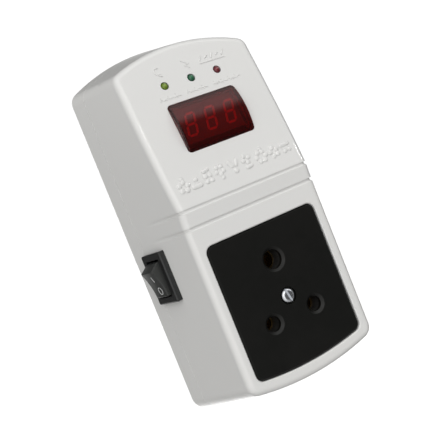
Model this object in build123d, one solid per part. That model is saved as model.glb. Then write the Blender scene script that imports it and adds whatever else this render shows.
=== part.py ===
from build123d import *
import math
import os

# Plug-in mains voltage tester and protector with a pass-through outlet.
# Everything is built in a front-face frame: X to the right, Y into the housing
# from the lower front face, Z up from the outlet's line and neutral holes.
# One translation at the end puts the origin on the rear face, midway between
# the plug's earth pin and its line/neutral pair, with the front facing -Y.

# ---------------------------------------------------------------- dimensions
DEPTH = 39.0                 # front face to rear face
PART_Y = 30.5                # parting line between the two shells
WALL = 2.3                   # shell wall
SIDE_DRAFT = 0.265           # side wall flare, lower half
HALF_W0 = 28.6               # half width at the lower front face
TOP_HALF_W = 29.1            # half width at the top front edge
TOP_Y = 11.05                # depth of the top front edge
TOP_Z = 112.2                # top front edge on the centre line
TOP_DRAFT = 0.232            # top wall flare
BOT_Z = -23.8                # bottom front edge on the centre line
BOT_DRAFT = 0.20             # bottom wall flare
R_TOP = 80.0                 # radius of the arched top
R_BOT = 117.0                # radius of the arched bottom
WAIST_Z = 48.0               # middle of the waist band
SLOPE = 0.194                # upper front face, depth per height
Y_WAIST = -0.7               # upper front face at z = 51.4
FOLD_R = 2.8                 # rounding between front face and walls

PIN_PITCH = 19.05            # line to neutral, centre to centre
EARTH_RISE = 22.2            # earth above the line/neutral pair
PIN_R = 2.54                 # line and neutral pin radius
PIN_LEN = 15.0
EARTH_R = 3.53               # earth pin radius
EARTH_LEN = 20.6

PLATE_HW = 24.45             # outlet cover plate
PLATE_TOP = 36.35
PLATE_BOT = -18.85
PLATE_CORNER_Z = -16.5
PLATE_Y0 = 0.45
PLATE_Y1 = 3.0

WIN_W = 29.4                 # display window
WIN_H = 19.7
WIN_CROWN = 2.2

LED_PITCH = 11.55
LED_ZL = 17.7                # LED row, in the upper face frame

SW_Y = 23.8                  # rocker switch centre on the left wall
SW_Z = 30.7
ROCKER_TILT = 15.0           # half of the rocker's travel
PIVOT_H = 0.5                # rocker pivot, outward of the wall surface
LEVER_TILT = 8.0             # half of the contact lever's travel
ARMATURE_OPEN = 4.0          # relay armature, open at rest

ORIGIN_Z = EARTH_RISE / 2

SLOPE_A = math.degrees(math.atan(SLOPE))
UP_Z = 80.0
UP_Y = Y_WAIST + SLOPE * (UP_Z - 51.4)
UP = Location((0, UP_Y, UP_Z), (-SLOPE_A, 0, 0))          # upper face frame
SW_ANGLE = 180 + math.degrees(math.atan(SIDE_DRAFT))
SW = Location((-HALF_W0 - SIDE_DRAFT * SW_Y, SW_Y, SW_Z), (0, 0, SW_ANGLE))

parts = {}


# ------------------------------------------------------------------- helpers
def bx(x0, x1, y0, y1, z0, z1):
    return Pos((x0 + x1) / 2, (y0 + y1) / 2, (z0 + z1) / 2) * Box(x1 - x0, y1 - y0, z1 - z0)


def cx(y, z, r, x0, x1):
    return Pos((x0 + x1) / 2, y, z) * Rot(0, 90, 0) * Cylinder(r, x1 - x0)


def cy(x, z, r, y0, y1):
    return Pos(x, (y0 + y1) / 2, z) * Rot(90, 0, 0) * Cylinder(r, y1 - y0)


def cz(x, y, r, z0, z1):
    return Pos(x, y, (z0 + z1) / 2) * Cylinder(r, z1 - z0)


def plane_y(y):
    return Plane(origin=(0, y, 0), x_dir=(1, 0, 0), z_dir=(0, -1, 0))


def slab_xz(sk, y0, y1):
    return extrude(plane_y(y1) * sk, amount=y1 - y0)


def rrect(w, h, r):
    return RectangleRounded(w, h, r)


def one(shape):
    s = shape.solids()
    return s[0] if len(s) == 1 else Compound(children=list(s))


def tube(points, radii, r):
    path = FilletPolyline(*points, radius=radii)
    w = path.wire() if hasattr(path, "wire") else path
    d = Vector(*points[1]) - Vector(*points[0])
    sec = Plane(origin=points[0], z_dir=d.normalized()) * Circle(r)
    s = sweep(sec, path=w)
    want = math.pi * r * r * w.length
    print("wire length %.1f  volume/section*length %.4f  radii %s" % (w.length, s.volume / want, radii))
    return s


# ------------------------------------------------------------ housing shells
def outline(y, inset, rt, rb):
    hb = HALF_W0 + SIDE_DRAFT * y - inset
    k = (HALF_W0 + SIDE_DRAFT * DEPTH - TOP_HALF_W) / (DEPTH - TOP_Y)
    ht = TOP_HALF_W + k * (y - TOP_Y) - inset
    zt = TOP_Z + TOP_DRAFT * (y - TOP_Y) - inset
    zb = BOT_Z - BOT_DRAFT * y + inset
    Rt, Rb = R_TOP - inset, R_BOT - inset
    ztc = zt - Rt + math.sqrt(Rt * Rt - ht * ht)
    zbc = zb + Rb - math.sqrt(Rb * Rb - hb * hb)
    top = ThreePointArc((ht, ztc), (0, zt), (-ht, ztc))
    bot = ThreePointArc((-hb, zbc), (0, zb), (hb, zbc))
    if abs(hb - ht) < 1e-3:
        ru = Line((hb, WAIST_Z), (ht, ztc))
        lu = Line((-ht, ztc), (-hb, WAIST_Z))
    else:
        ru = TangentArc((hb, WAIST_Z), (ht, ztc), tangent=(0, 1))
        lu = TangentArc((-hb, WAIST_Z), (-ht, ztc), tangent=(0, 1))
    rl = Line((hb, zbc), (hb, WAIST_Z))
    ll = Line((-hb, WAIST_Z), (-hb, zbc))
    f = make_face([bot.edge(), rl.edge(), ru.edge(), top.edge(), lu.edge(), ll.edge()])
    tops = [v for v in f.vertices() if v.Y > 90]
    f = fillet(tops, rt)
    f = f if isinstance(f, Sketch) else Sketch() + f
    bots = [v for v in f.vertices() if v.Y < 0 and abs(abs(v.X) - hb) < 0.01 and abs(v.Y - zbc) < 0.01]
    f = fillet(bots, rb)
    return plane_y(y) * f


def envelope(inset, rt0, rb0, rt1, rb1):
    a = outline(-6.0, inset, rt0, rb0)
    b = outline(DEPTH, inset, rt1, rb1)
    return loft([a.faces()[0], b.faces()[0]], ruled=True)


def front_profile(shift):
    z1 = 135.0
    pts = [(shift, -50), (shift, 44.5), (Y_WAIST + shift, 51.4),
           (Y_WAIST + shift + SLOPE * (z1 - 51.4), z1), (60, z1), (60, -50)]
    f = make_face(Polyline(*pts, close=True).edges())
    kinks = [v for v in f.vertices() if 44 < v.Y < 52]
    f = fillet(kinks, 9.0)
    return extrude(Plane.YZ * f, amount=70, both=True)


env = envelope(0.0, 4.0, 4.5, 5.0, 6.0)
outer = env & front_profile(0.0)
outer = outer.solids()[0]

front_faces = [f for f in outer.faces() if f.normal_at(f.center()).Y < -0.9]
all_front_edges = [e for f in front_faces for e in f.edges()]
rim = []
for e in all_front_edges:
    if sum(1 for o in all_front_edges if o.is_same(e)) == 1:
        rim.append(e)
outer = fillet(rim, FOLD_R)
outer = outer.solids()[0]
back_rim = [e for e in outer.edges() if abs(e.center().Y - DEPTH) < 0.01]
outer = fillet(back_rim, 0.7).solids()[0]

cavity = envelope(WALL, 2.2, 2.4, 3.0, 3.6) & front_profile(WALL) & bx(-60, 60, -10, DEPTH - 2.2, -60, 140)
cavity = cavity.solids()[0]


def groove(zc, y_front, depth=0.6, fade_y=23.0):
    # Waist groove: full depth across the front and round the folds, running
    # out to nothing on the side walls. Its lower flank is sloped.
    def plan(d, z):
        x0 = HALF_W0 + SIDE_DRAFT * y_front - d
        pts = [(-x0, y_front + d), (x0, y_front + d),
               (HALF_W0 + SIDE_DRAFT * fade_y + 0.02, fade_y), (HALF_W0 + SIDE_DRAFT * 60 + 0.02, 60),
               (-HALF_W0 - SIDE_DRAFT * 60 - 0.02, 60), (-HALF_W0 - SIDE_DRAFT * fade_y - 0.02, fade_y)]
        f = make_face(Polyline(*pts, close=True).edges())
        f = fillet([v for v in f.vertices() if v.Y < y_front + 2], FOLD_R)
        return Pos(0, 0, z) * f
    deep = plan(depth, zc - 0.25)
    shallow = plan(-0.05, zc - 1.05)
    inner = extrude(deep, amount=0.85) + loft([shallow.faces()[0], deep.faces()[0]], ruled=True)
    ring = bx(-60, 60, -10, 50, zc - 1.04, zc + 0.55) - inner
    return ring


for zc, yf in ((44.6, 0.0), (51.3, Y_WAIST)):
    outer = outer - groove(zc, yf)
outer = max(outer.solids(), key=lambda s: s.volume)

front = outer & bx(-80, 80, -20, PART_Y - 0.12, -80, 160)
rear = outer & bx(-80, 80, PART_Y + 0.12, DEPTH + 1, -80, 160)
front = front - cavity
rear = rear - cavity

# outlet opening: cover plate pocket, ledge and through opening
def plate_face(g, r):
    hw = PLATE_HW + g
    top = PLATE_TOP + g
    f = make_face([
        Line((-hw, PLATE_CORNER_Z - g * 0.9), (-hw, top)).edge(),
        Line((-hw, top), (hw, top)).edge(),
        Line((hw, top), (hw, PLATE_CORNER_Z - g * 0.9)).edge(),
        ThreePointArc((hw, PLATE_CORNER_Z - g * 0.9), (0, PLATE_BOT - g), (-hw, PLATE_CORNER_Z - g * 0.9)).edge()])
    return fillet(f.vertices(), r)


pad = (bx(-40, 40, 1.0, 4.6, -23.0, 41.0)) & outer
front = front + pad
front = front - slab_xz(plate_face(0.12, 3.2), -3, PLATE_Y1)
front = front - slab_xz(plate_face(-2.5, 2.0), -3, 8)
pocket_edges = [e for e in front.edges()
                if abs(e.center().Y) < 0.02 and abs(e.bounding_box().size.Y) < 0.02
                and -20 < e.center().Z < 38 and abs(e.center().X) < 25.2
                and e.bounding_box().min.Z > -19.6 and abs(e.center().Z - 44) > 3]
front = chamfer(pocket_edges, 0.35)

# display window opening and LED holes, in the upper face frame
win_cut = UP * (Pos(0, 2, 0) * extrude(plane_y(4) * rrect(WIN_W + 0.2, WIN_H + 0.2, 1.6), amount=12))
front = front - win_cut
for i in (-1, 0, 1):
    front = front - UP * cy(i * LED_PITCH, LED_ZL, 1.62, -6, 6)

# circuit board posts
PCB_Y0, PCB_Y1 = 11.5, 13.1
posts = [(-22, -18.5), (22, -18.5), (-22, 18.5), (22, 18.5)]
for px, pz in posts:
    p = UP * (cy(px, pz, 2.4, 1.2, PCB_Y0 - 0.05))
    front = front + (p & outer)
    front = front - UP * cy(px, pz, 0.95, 4.5, PCB_Y0 + 1)

# shell screw bosses
bosses = [(-24.0, 104.0), (24.0, 104.0), (-25.8, -11.5), (25.8, -11.5)]
for bxx, bz in bosses:
    y0 = Y_WAIST + SLOPE * (bz - 51.4) + 1.4 if bz > 50 else 4.2
    front = front + (cy(bxx, bz, 3.4, y0, PART_Y - 0.12) & outer)
    front = front - cy(bxx, bz, 1.5, 17.0, PART_Y + 1)
    rear = rear + (cy(bxx, bz, 4.6, PART_Y + 0.12, DEPTH - 1.5) & outer)
    rear = rear - cy(bxx, bz, 1.7, PART_Y - 1, DEPTH + 1)
    rear = rear - cy(bxx, bz, 3.2, 33.2, DEPTH + 1)

# rocker switch cut-out in the left wall
front = front - SW * bx(-5, 5, -5.7, 5.7, -9.0, 9.0)
# relief for the switch body in the rear shell's skirt
rear = rear - SW * bx(-14, 3, -7.0, 7.0, -9.2, 9.2)

# locating lip inside the parting line, on the rear shell
lip = (envelope(WALL + 0.15, 2.1, 2.3, 2.9, 3.5) & bx(-80, 80, PART_Y - 2.0, PART_Y + 3.0, -80, 160)) \
    - envelope(WALL + 1.45, 1.6, 1.8, 2.2, 2.6)
lip = lip - bx(-60, -20, 20, 40, 15, 46)
for bxx, bz in bosses:
    lip = lip - cy(bxx, bz, 4.2, PART_Y - 3, PART_Y + 0.12)
rear = rear + lip
rear = max(rear.solids(), key=lambda s: s.volume)

# plug pin holes and the pin carrier's screw posts
pins = [("neutral", -PIN_PITCH / 2, 0.0, PIN_R, PIN_LEN, 3.0, 4.4, 2.6),
        ("line", PIN_PITCH / 2, 0.0, PIN_R, PIN_LEN, 3.0, 4.4, 2.6),
        ("earth", 0.0, EARTH_RISE, EARTH_R, EARTH_LEN, 4.0, 5.4, 3.3)]
for _, px, pz, pr, pl, neck, fl, stub in pins:
    rear = rear - cy(px, pz, neck + 0.06, DEPTH - 4, DEPTH + 1)
CARRIER_Y0, CARRIER_Y1 = 31.8, 34.5
c_posts = [(-15.0, -7.0), (15.0, -7.0), (-12.5, 27.5), (12.5, 27.5)]
for px, pz in c_posts:
    rear = rear + cy(px, pz, 2.5, CARRIER_Y1 + 0.05, DEPTH - 1.5)
    rear = rear - cy(px, pz, 0.95, CARRIER_Y1 - 1, DEPTH - 1.2)

parts["front_housing"] = max(front.solids(), key=lambda s: s.volume)
parts["rear_housing"] = max(rear.solids(), key=lambda s: s.volume)

screws = []
for bxx, bz in bosses:
    s = cy(bxx, bz, 2.8, 33.2, 35.2) + cy(bxx, bz, 1.42, 18.5, 33.2)
    s = s - bx(bxx - 0.35, bxx + 0.35, 34.3, 36, bz - 1.7, bz + 1.7) - bx(bxx - 1.7, bxx + 1.7, 34.3, 36, bz - 0.35, bz + 0.35)
    screws.append(s)
parts["housing_screws"] = screws

# ------------------------------------------------------------ display, LEDs
win_out = make_face([
    Line((0.0, -WIN_H / 2), (2.6, -WIN_H / 2)).edge(),
    Line((2.6, -WIN_H / 2), (2.6, WIN_H / 2)).edge(),
    Line((2.6, WIN_H / 2), (0.0, WIN_H / 2)).edge(),
    ThreePointArc((0.0, WIN_H / 2), (-WIN_CROWN, 0), (0.0, -WIN_H / 2)).edge()])
win = extrude(Plane.YZ * win_out, amount=WIN_W / 2, both=True)
win = win & (Pos(0, 0, 0) * extrude(plane_y(5) * rrect(WIN_W, WIN_H, 1.5), amount=12))
win_edges = [e for e in win.edges() if e.center().Y < -0.05]
try:
    win = fillet(win_edges, 0.5)
except Exception:
    pass
win_in = make_face([
    Line((1.0, -WIN_H / 2 + 1.3), (6.0, -WIN_H / 2 + 1.3)).edge(),
    Line((6.0, -WIN_H / 2 + 1.3), (6.0, WIN_H / 2 - 1.3)).edge(),
    Line((6.0, WIN_H / 2 - 1.3), (1.0, WIN_H / 2 - 1.3)).edge(),
    ThreePointArc((1.0, WIN_H / 2 - 1.3), (-WIN_CROWN + 1.3, 0), (1.0, -WIN_H / 2 + 1.3)).edge()])
win_hollow = extrude(Plane.YZ * win_in, amount=WIN_W / 2 - 1.3, both=True)
flange = extrude(plane_y(3.1) * rrect(WIN_W + 3.4, WIN_H + 3.0, 2.5), amount=0.7)
win = (win + flange) - win_hollow
parts["display_window"] = UP * win

DISP_Y0 = 3.25
disp = bx(-12.4, 14.5, DISP_Y0, 10.3, -6.0, 8.4)
for i in range(5):
    for s in (-1, 1):
        disp = disp + bx((i - 2) * 2.54 - 0.25, (i - 2) * 2.54 + 0.25, 10.2, PCB_Y0 - 0.05, s * 5.9 - 0.25, s * 5.9 + 0.25)
parts["display_module"] = UP * disp

SEG_T = 0.85
DIG_H = 9.4
DIG_W = 4.6
DIG_Z = 1.2
SKEW = math.tan(math.radians(14))


def segment(kind, cx0):
    h, w, t = DIG_H / 2, DIG_W / 2, SEG_T / 2
    g = 0.16
    if kind in "agd":
        zc = {"a": h - t, "g": 0, "d": -h + t}[kind]
        pts = [(-w + t + g, zc), (-w + 2 * t + g, zc + t), (w - 2 * t - g, zc + t), (w - t - g, zc), (w - 2 * t - g, zc - t), (-w + 2 * t + g, zc - t)]
    else:
        xc = w - t if kind in "bc" else -w + t
        lo, hi = (0, h - t) if kind in "bf" else (-h + t, 0)
        pts = [(xc, lo + g), (xc + t, lo + t + g), (xc + t, hi - t - g), (xc, hi - g), (xc - t, hi - t - g), (xc - t, lo + t + g)]
    pts = [(cx0 + x + SKEW * z, DIG_Z + z) for x, z in pts]
    return make_face(Polyline(*pts, close=True).edges())


segs = []
for d in (-7.4, 1.2, 9.8):
    for k in "abcdefg":
        segs.append(UP * extrude(plane_y(DISP_Y0 - 0.02) * segment(k, d), amount=0.15))
parts["display_segments"] = segs

for name, i in (("led_normal", -1), ("led_power", 0), ("led_fault", 1)):
    x = i * LED_PITCH
    led = cy(x, LED_ZL, 1.5, 0.9, 4.2) + Pos(x, 0.9, LED_ZL) * Sphere(1.5) + cy(x, LED_ZL, 1.9, 3.6, 4.6)
    led = led + bx(x - 1.52, x - 1.02, 4.5, PCB_Y0 - 0.05, LED_ZL - 0.25, LED_ZL + 0.25)
    led = led + bx(x + 1.02, x + 1.52, 4.5, PCB_Y0 - 0.05, LED_ZL - 0.25, LED_ZL + 0.25)
    parts[name] = UP * led

# ------------------------------------------------------------- circuit board
pcb = extrude(plane_y(PCB_Y1) * rrect(51, 43, 1.5), amount=PCB_Y1 - PCB_Y0)
for px, pz in posts:
    pcb = pcb - cy(px, pz, 1.1, PCB_Y0 - 1, PCB_Y1 + 1)
parts["control_board"] = UP * pcb
b_screws = []
for px, pz in posts:
    s = cy(px, pz, 1.9, PCB_Y1 + 0.02, PCB_Y1 + 1.3) + cy(px, pz, 0.9, 6.0, PCB_Y1 + 0.1)
    s = s - bx(px - 0.25, px + 0.25, PCB_Y1 + 0.7, PCB_Y1 + 2, pz - 1.2, pz + 1.2) - bx(px - 1.2, px + 1.2, PCB_Y1 + 0.7, PCB_Y1 + 2, pz - 0.25, pz + 0.25)
    b_screws.append(UP * s)
parts["board_screws"] = b_screws

BY = PCB_Y1 + 0.05
# relay: base, coil on its core, L-shaped yoke, hinged armature, contacts, case
RX0, RX1, RZ0, RZ1 = -23.5, -4.5, -14.9, 0.5
RXC, RZC = -13.5, (RZ0 + RZ1) / 2
parts["relay_base"] = UP * bx(RX0 + 0.9, RX1 - 0.9, BY, BY + 2.0, RZ0 + 0.9, RZ1 - 0.9)
ry = BY + 2.05
parts["relay_core"] = UP * (cy(RXC, RZC, 2.0, ry + 1.05, ry + 9.4) + cy(RXC, RZC, 3.0, ry + 8.6, ry + 9.4))
bob = (cy(RXC, RZC, 2.6, ry + 1.1, ry + 8.5) + bx(RXC - 5, RXC + 5, ry + 1.1, ry + 1.8, RZC - 5, RZC + 5)
       + bx(RXC - 5, RXC + 5, ry + 7.8, ry + 8.5, RZC - 5, RZC + 5)) - cy(RXC, RZC, 2.05, ry, ry + 10)
parts["relay_bobbin"] = UP * bob
coil = cy(RXC, RZC, 4.6, ry + 1.85, ry + 7.75) - cy(RXC, RZC, 2.65, ry, ry + 10)
parts["relay_coil"] = UP * coil
yoke = bx(RXC - 5.0, RXC + 7.4, ry, ry + 1.0, RZC - 4, RZC + 4) + bx(RXC + 6.2, RXC + 7.4, ry, ry + 9.2, RZC - 4, RZC + 4)
parts["relay_yoke"] = UP * yoke
# armature hinge line lies just above the yoke's upright leg
HX, HY = RXC + 6.8, ry + 9.9
arm = bx(HX - 9.8, HX + 0.6, HY - 0.35, HY + 0.55, RZC - 3.6, RZC + 3.6)
arm = Pos(HX, HY, 0) * Rot(0, 0, -ARMATURE_OPEN) * Pos(-HX, -HY, 0) * arm
parts["relay_armature"] = UP * arm
spr = bx(HX - 14.2, HX - 3.0, HY + 0.6, HY + 0.85, RZC - 1.6, RZC + 1.6)
spr = spr + cy(HX - 13.2, RZC, 1.0, HY + 0.1, HY + 0.7)
spr = Pos(HX, HY, 0) * Rot(0, 0, -ARMATURE_OPEN) * Pos(-HX, -HY, 0) * spr
parts["relay_contact_spring"] = UP * spr
fx = HX - 13.2
fixed = bx(fx - 1.9, fx - 1.3, ry, HY - 0.95, RZC - 2, RZC + 2) + bx(fx - 1.9, fx + 1.0, HY - 1.4, HY - 0.95, RZC - 2, RZC + 2) \
    + cy(fx, RZC, 1.0, HY - 1.0, HY - 0.5)
parts["relay_fixed_contact"] = UP * fixed
case = bx(RX0, RX1, BY, BY + 15.2, RZ0, RZ1) - bx(RX0 + 0.8, RX1 - 0.8, BY - 1, BY + 14.4, RZ0 + 0.8, RZ1 - 0.8)
parts["relay_case"] = UP * case

# other board components
film = UP * (bx(0.5, 18.5, BY, BY + 12.5, -11.5, -4.5))
parts["dropper_capacitor"] = fillet(film.edges(), 0.5)
elec = cy(20.0, 1.5, 4.0, BY, BY + 11.5)
parts["filter_capacitor"] = UP * fillet(elec.edges(), 0.4)
mov = cy(0, 0, 5.0, -1.8, 1.8)
mov = Pos(-17.5, BY + 7.2, 5.2) * Rot(90, 0, 0) * fillet(mov.edges(), 1.2)
mov = mov + bx(-20.2, -19.7, BY, BY + 4.0, 4.95, 5.45) + bx(-15.3, -14.8, BY, BY + 4.0, 4.95, 5.45)
parts["varistor"] = UP * mov
fuse_body = cx(BY + 4.2, 13.5, 2.5, -16.9, -5.1)
parts["fuse_glass"] = UP * (fuse_body - cx(BY + 4.2, 13.5, 1.9, -20, 0))
caps = []
for x0, x1 in ((-21.0, -17.0), (-5.0, -1.0)):
    caps.append(UP * (cx(BY + 4.2, 13.5, 2.6, x0, x1)))
parts["fuse_end_caps"] = caps
clips = []
for x0 in (-20.4, -4.4):
    c = bx(x0, x0 + 2.8, BY, BY + 0.8, 10.2, 16.8) + bx(x0, x0 + 2.8, BY, BY + 5.5, 10.2, 10.7) + bx(x0, x0 + 2.8, BY, BY + 5.5, 16.3, 16.8)
    clips.append(UP * c)
parts["fuse_clips"] = clips
mcu = bx(1.0, 21.0, BY + 0.5, BY + 3.8, 9.0, 15.2)
for i in range(8):
    for s, z in ((-1, 8.75), (1, 15.45)):
        x = 2.1 + i * 2.54
        mcu = mcu + bx(x - 0.25, x + 0.25, BY, BY + 2.3, z - 0.28, z + 0.28)
parts["microcontroller"] = UP * mcu
reg = (cy(-9.0, 6.0, 2.3, BY + 1.5, BY + 6.0) - bx(-12, -6, BY, BY + 8, 7.2, 9.0))
for dx in (-1.27, 0, 1.27):
    reg = reg + bx(-9.0 + dx - 0.22, -9.0 + dx + 0.22, BY, BY + 1.6, 5.78, 6.22)
parts["voltage_regulator"] = UP * reg
res = []
for i, x in enumerate((-2.9, 1.8, 6.5, 11.2)):
    r = cz(x, BY + 1.5, 1.15, -1.2, 4.8) + bx(x - 0.25, x + 0.25, BY, BY + 1.7, -2.3, -1.8) + bx(x - 0.25, x + 0.25, BY, BY + 1.7, 5.4, 5.9) \
        + bx(x - 0.25, x + 0.25, BY + 1.25, BY + 1.75, -2.3, 5.9)
    res.append(UP * r)
parts["resistors"] = res
TX = [5.0, 10.08, 15.16]
tb = bx(2.4, 17.7, BY, BY + 9.8, -21.0, -13.0)
for x in TX:
    tb = tb - cz(x, 17.0, 1.15, -22, -16.5) - cy(x, -17.6, 1.75, BY + 6.8, BY + 11)
parts["terminal_block"] = UP * tb
ts = []
for x in TX:
    s = cy(x, -17.6, 1.6, BY + 6.9, BY + 8.9) - bx(x - 0.3, x + 0.3, BY + 8.1, BY + 10, -19.4, -15.8)
    ts.append(UP * s)
parts["terminal_block_screws"] = ts

# -------------------------------------------------------------------- outlet
plate = slab_xz(plate_face(0.0, 3.25), PLATE_Y0, PLATE_Y1)
front_edges = [e for e in plate.edges() if abs(e.center().Y - PLATE_Y0) < 0.01]
plate = chamfer(front_edges, 0.7)
SOCK = [("neutral", -PIN_PITCH / 2, 0.0, 2.95, 4.0), ("line", PIN_PITCH / 2, 0.0, 2.95, 4.0), ("earth", 0.0, EARTH_RISE, 3.8, 4.8)]
for _, px, pz, hr, rr in SOCK:
    plate = plate - cy(px, pz, hr, -2, 6)
    plate = plate - Pos(px, PLATE_Y0 + 0.45, pz) * Rot(90, 0, 0) * Cone(hr, rr, 0.9 + 0.001)
SCREW_Z = 7.4
plate = plate - cy(0, SCREW_Z, 1.7, -2, 6) - cy(0, SCREW_Z, 3.4, -2, 1.7)
parts["outlet_cover_plate"] = plate

base = slab_xz(plate_face(-2.75, 2.2), PLATE_Y1 + 0.05, 17.0)
base = base + slab_xz(plate_face(-0.6, 2.6), 4.65, 7.4)
base = base + cy(0, EARTH_RISE, 6.2, 16.9, 21.4)
for n, px, pz, hr, rr in SOCK:
    o = 3.45 if n != "earth" else 4.45
    yb = 18 if n != "earth" else 22
    base = base - cy(px, pz, hr + 0.05, 0, yb) - cy(px, pz, o, 8.5, yb)
base = base - cy(0, SCREW_Z, 1.7, 0, 14) - cy(0, SCREW_Z, 2.45, 5.0, 12.2)
for sx in (-1, 1):
    base = base - cy(sx * 25.8, -11.5, 3.75, 3.5, 20)
    base = base - bx(sx * 17.5 - 2.2, sx * 17.5 + 2.2, 9, 18, -8, 28)
parts["contact_carrier"] = base
parts["threaded_insert"] = cy(0, SCREW_Z, 2.4, 5.05, 12.1) - cy(0, SCREW_Z, 1.5, 4, 13)
head = cy(0, SCREW_Z, 2.85, -0.1, 1.65)
head = fillet([e for e in head.edges() if abs(e.center().Y + 0.1) < 0.01], 1.35)
scr = head + cy(0, SCREW_Z, 1.42, 1.6, 11.5)
scr = scr - Pos(0, 0, SCREW_Z) * Rot(0, -11.5, 0) * bx(-0.47, 0.47, -1, 0.85, -3.5, 3.5)
parts["outlet_screw"] = scr

for n, px, pz, ri, ro, y0, y1, y2, yw in (("neutral", -PIN_PITCH / 2, 0.0, 2.6, 3.4, 8.6, 16.0, 24.0, 20.0),
                                         ("line", PIN_PITCH / 2, 0.0, 2.6, 3.4, 8.6, 16.0, 24.0, 20.0),
                                         ("earth", 0.0, EARTH_RISE, 3.6, 4.4, 8.6, 21.4, 25.6, 23.6)):
    s = cy(px, pz, ro, y0, y2) - cy(px, pz, ri, y0 - 1, y1)
    s = s - bx(px - 0.4, px + 0.4, y0 - 1, y1 - 2.5, pz, pz + 6)
    s = s - cx(yw, pz, 1.06, px - 6, px + 6)
    s = s - (cz(px, yw, 0.9, pz - 6, pz) if n != "earth" else cz(px, yw, 0.9, pz, pz + 6))
    parts[n + "_sleeve"] = s
t_screws = []
for n, px, pz, yw, ro, sg in (("neutral", -PIN_PITCH / 2, 0.0, 20.0, 3.4, -1), ("line", PIN_PITCH / 2, 0.0, 20.0, 3.4, -1), ("earth", 0.0, EARTH_RISE, 23.6, 4.4, 1)):
    a, b = sorted((pz + sg * 1.1, pz + sg * (ro + 0.6)))
    c, d = sorted((pz + sg * (ro + 0.1), pz + sg * (ro + 1.4)))
    s = cz(px, yw, 0.85, a, b) + cz(px, yw, 1.5, c, d)
    e, f = sorted((pz + sg * (ro + 0.9), pz + sg * (ro + 3)))
    s = s - bx(px - 0.25, px + 0.25, yw - 2, yw + 2, e, f)
    t_screws.append(s)
parts["sleeve_screws"] = t_screws

# ----------------------------------------------------------------- plug pins
p_screws = []
for n, px, pz, pr, pl, neck, fl, stub in pins:
    p = cy(px, pz, pr, DEPTH, DEPTH + pl)
    p = chamfer([e for e in p.edges() if abs(e.center().Y - DEPTH - pl) < 0.01], 0.8)
    p = p + cy(px, pz, neck, 36.0, DEPTH) + cy(px, pz, fl, 34.6, 36.75) + cy(px, pz, stub, 27.6, 34.7)
    p = p - cx(29.9, pz, 1.06, px - 6, px + 6) - cy(px, pz, 0.95, 27, 29.9)
    parts[n + "_pin"] = p
    s = cy(px, pz, 2.0, 26.2, 27.55) + cy(px, pz, 0.9, 27.4, 28.8)
    s = s - bx(px - 0.25, px + 0.25, 25, 26.8, pz - 3, pz + 3)
    p_screws.append(s)
parts["pin_screws"] = p_screws
carrier = slab_xz(Pos(0, 10.25, 0) * rrect(36, 41, 3.0), CARRIER_Y0, CARRIER_Y1)
for n, px, pz, pr, pl, neck, fl, stub in pins:
    carrier = carrier - cy(px, pz, stub + 0.08, 30, 36)
for px, pz in c_posts:
    carrier = carrier - cy(px, pz, 1.1, 30, 36)
parts["pin_carrier"] = carrier
cs = []
for px, pz in c_posts:
    s = cy(px, pz, 1.9, CARRIER_Y0 - 1.35, CARRIER_Y0 - 0.03) + cy(px, pz, 0.9, CARRIER_Y0 - 0.1, 37.3)
    s = s - bx(px - 0.25, px + 0.25, CARRIER_Y0 - 3, CARRIER_Y0 - 0.8, pz - 1.2, pz + 1.2) - bx(px - 1.2, px + 1.2, CARRIER_Y0 - 3, CARRIER_Y0 - 0.8, pz - 0.25, pz + 0.25)
    cs.append(s)
parts["carrier_screws"] = cs

# ------------------------------------------------------------- rocker switch
# Switch frame: x outward of the wall, z up, y towards the front.
bez = bx(0.03, 2.5, -6.5, 6.5, -10.1, 10.1)
bez = fillet([e for e in bez.edges() if abs(e.bounding_box().size.X) > 2], 0.5)
bez = chamfer([e for e in bez.edges() if abs(e.center().X - 2.5) < 0.01], 0.4)
frm = bez + bx(-12.6, 0.5, -5.5, 5.5, -8.8, 8.8)
frm = frm - bx(-10.6, 4, -4.3, 4.3, -7.6, 7.6)
frm = frm - Pos(PIVOT_H, 0, 0) * Rot(90, 0, 0) * Cylinder(1.15, 10.2)
frm = frm - bx(-13, -10, -2.45, 2.45, -0.43, 0.43) - bx(-13, -10, -2.45, 2.45, -6.03, -5.17)
parts["switch_frame"] = SW * frm


def rocker_frame(shape, tilt=ROCKER_TILT):
    return Pos(PIVOT_H, 0, 0) * Rot(0, tilt, 0) * shape


def prof_xz(edges_or_pts, half):
    f = edges_or_pts
    return extrude(Plane(origin=(0, 0, 0), x_dir=(1, 0, 0), z_dir=(0, -1, 0)) * f, amount=half, both=True)


rk = make_face([
    ThreePointArc((5.2, -5.68), (4.6, 0), (5.2, 5.68)).edge(),
    Line((5.2, 5.68), (1.0, 7.0)).edge(),
    Line((1.0, 7.0), (-1.6, 6.6)).edge(),
    Line((-1.6, 6.6), (-1.6, 1.9)).edge(),
    Line((-1.6, 1.9), (-6.2, 1.9)).edge(),
    Line((-6.2, 1.9), (-6.2, -1.9)).edge(),
    Line((-6.2, -1.9), (-1.6, -1.9)).edge(),
    Line((-1.6, -1.9), (-1.6, -6.6)).edge(),
    Line((-1.6, -6.6), (1.0, -7.0)).edge(),
    Line((1.0, -7.0), (5.2, -5.68)).edge()])
rocker = prof_xz(rk, 3.9)
rocker = rocker - bx(-7, -1.6, -5, -1.9, -2.2, 2.2) - bx(-7, -1.6, 1.9, 5, -2.2, 2.2)
rocker = rocker + Rot(90, 0, 0) * Cylinder(1.1, 10.0)
rocker = rocker - cx(0, 0, 1.3, -7, -2.2)
parts["rocker_button"] = SW * rocker_frame(rocker)
plunger = cx(0, 0, 1.24, -6.8, -3.6) + Pos(-6.8, 0, 0) * Sphere(1.2)
plunger = plunger - cx(0, 0, 0.85, -6.3, -3.0)
parts["plunger"] = SW * rocker_frame(plunger)
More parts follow.
